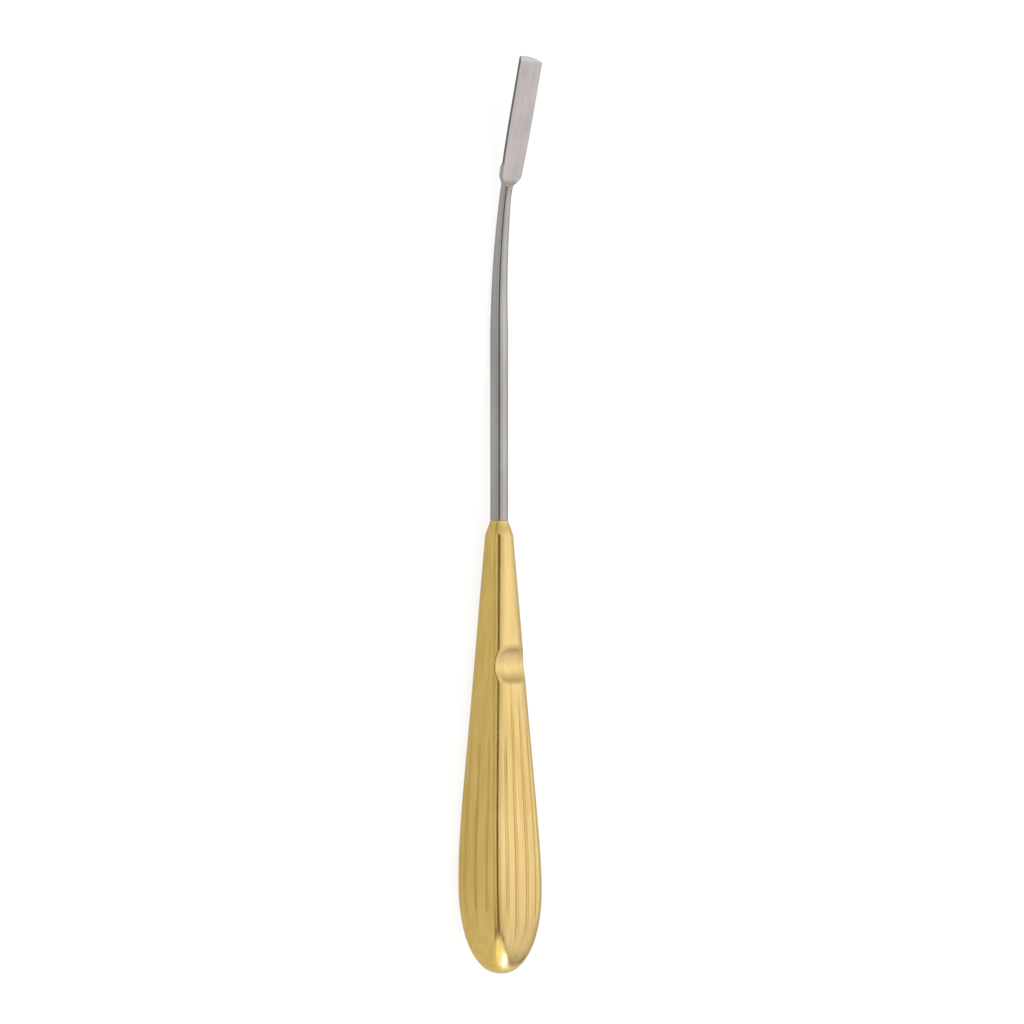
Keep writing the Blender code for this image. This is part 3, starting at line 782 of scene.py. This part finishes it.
def make_floor():
    """A pale floor that shows white to the camera and keeps the instrument's shadow, with a painted pool
    of light beyond the butt in what the metal reflects.
    """
    s = FLOOR_SIZE
    mesh = bpy.data.meshes.new("floor")
    mesh.from_pydata([(-s, -s, 0), (s, -s, 0), (s, s, 0), (-s, s, 0)], [], [(0, 1, 2, 3)])
    floor = bpy.data.objects.new("floor", mesh)
    bpy.context.scene.collection.objects.link(floor)
    material = bpy.data.materials.new("floor_paper")
    material.use_nodes = True
    tree = material.node_tree
    tree.nodes.remove(tree.nodes["Principled BSDF"])
    path = add_node(tree, "ShaderNodeLightPath").outputs
    mirrored = math_node(tree, "MAXIMUM", path["Is Glossy Ray"], path["Is Transmission Ray"])
    spot = add_node(tree, "ShaderNodeNewGeometry").outputs["Position"]
    away = add_node(tree, "ShaderNodeVectorMath", {0: spot, 1: FLOOR_SPOT}, operation="DISTANCE")
    # painted light: the floor glows brighter beyond the butt for the metal's reflections
    brighter = ramp(tree, away.outputs["Value"], *FLOOR_SPOT_REACH, FLOOR_SPOT_LEVEL, 1)
    both = add_node(tree, "ShaderNodeBsdfDiffuse", {"Color": FLOOR_PAPER}).outputs[0]
    for colour, share in (
        (FLOOR_GLOW, path["Is Camera Ray"]),
        (FLOOR_BOUNCE, product(tree, mirrored, brighter)),
    ):
        glow = add_node(tree, "ShaderNodeEmission", {"Color": colour, "Strength": share})
        both = add_node(tree, "ShaderNodeAddShader", {0: both, 1: glow.outputs[0]}).outputs[0]
    tree.links.new(both, tree.nodes["Material Output"].inputs["Surface"])
    mesh.materials.append(material)


def open_sky(tree, along, across, up):
    """How bright the sky is in each direction, with a brighter patch beyond the butt."""
    shade = add_node(tree, "ShaderNodeMapRange", {
        "Value": along(SHADE_DIRECTION), "From Min": SHADE_REACH[0], "From Max": SHADE_REACH[1],
        "To Min": 1, "To Max": SHADE_LEVEL,
    }, interpolation_type="SMOOTHSTEP").outputs[0]
    level = product(
        tree,
        ramp(tree, along((0, 0, 1)), 0, SKY_FULL, SKY_LOW, SKY_HIGH),
        shade,
        ramp(tree, along((1, 0, 0)), *SKY_SIDE, SKY_LEFT, 1),
        *[ramp(tree, along((0, 1, 0)), *reach, *levels)
          for reach, levels in (SKY_ALONG, SKY_BUTT, SKY_BLADE)],
    )
    window = product(
        tree,
        ramp(tree, math_node(tree, "ABSOLUTE", along(across)), *WINDOW_ACROSS, 1, 0),
        ramp(tree, along(-up), *WINDOW_ALONG),
    )
    return add_node(tree, "ShaderNodeMix", {0: window, 2: level, 3: WINDOW_LEVEL}).outputs[0]


def dark_marks(tree, along, towards, across, up):
    """Where the sky is dark, from 0 to 1: the patch round the photographer, and the bar beyond it."""
    side = math_node(tree, "ABSOLUTE", along(across))
    end = math_node(tree, "ABSOLUTE", along(up))
    beyond = along(-up)
    gap = product(tree, ramp(tree, side, *GAP_ACROSS, 1, 0), ramp(tree, end, *GAP_ALONG, 1, 0),
                  ramp(tree, along(towards), *GAP_SIDE))
    bar = product(tree, ramp(tree, beyond, *BAR_FROM), ramp(tree, beyond, *BAR_TO, 1, 0),
                  ramp(tree, side, *BAR_ACROSS, 1, 0))
    return gap, bar


def make_sky(place):
    """Soft light from all of the sky, dimmer at the horizon, with a dark patch where the photographer
    stands, which the polished metal shows as a thin dark line. To the camera it is white."""
    towards, across, up = camera_axes(place)
    world = bpy.data.worlds.new("studio")
    bpy.context.scene.world = world
    world.use_nodes = True
    tree = world.node_tree
    ray = add_node(tree, "ShaderNodeTexCoord").outputs["Generated"]
    seen = add_node(tree, "ShaderNodeLightPath").outputs["Is Camera Ray"]
    background = tree.nodes["Background"].inputs

    def along(axis):
        node = add_node(tree, "ShaderNodeVectorMath", {0: ray, 1: axis}, operation="DOT_PRODUCT")
        return node.outputs["Value"]

    gap, bar = dark_marks(tree, along, towards, across, up)
    sky = product(tree, open_sky(tree, along, across, up), ramp(tree, gap, 0, 1, 1, GAP_LEVEL),
                  ramp(tree, bar, 0, 1, 1, BAR_LEVEL))
    level = add_node(tree, "ShaderNodeMix", {0: seen, 2: sky, 3: 1.0}).outputs[0]
    tint = product(tree, math_node(tree, "MAXIMUM", gap, bar), math_node(tree, "SUBTRACT", 1.0, seen))
    tree.links.new(mix_colour(tree, tint, (1, 1, 1, 1), GAP_COLOUR), background["Color"])
    tree.links.new(level, background["Strength"])


def make_lamp(place):
    """A small soft lamp beyond the butt, which puts the highlight on its dome."""
    data = bpy.data.lights.new("butt_lamp", "AREA")
    data.shape = "ELLIPSE"
    data.size, data.size_y = BUTT_LAMP_SIZE
    data.energy = BUTT_LAMP_POWER
    lamp = bpy.data.objects.new("butt_lamp", data)
    butt = place @ Vector((0, -BUTT_LENGTH, 0))
    direction = (place.to_3x3() @ BUTT_LAMP_DIRECTION).normalized()
    lamp.location = butt + direction * BUTT_LAMP_DISTANCE
    lamp.rotation_euler = direction.to_track_quat("Z", "Y").to_euler()
    lamp.visible_camera = False
    bpy.context.scene.collection.objects.link(lamp)


# All together

handle, steel = build_handle(), build_steel()
place = lay_down([handle, steel])
make_camera(place)
for piece, node, slot, material in (
    (handle, "handle", "gold_plate", gold_material()),
    (steel, "blade_shank", "satin_steel", steel_material()),
):
    piece.data.materials.append(material)
    weigh_normals(piece)
    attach(piece, "root")
    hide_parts(node)
make_floor()
make_sky(place)
make_lamp(place)
bpy.context.scene.view_settings.view_transform = "Standard"
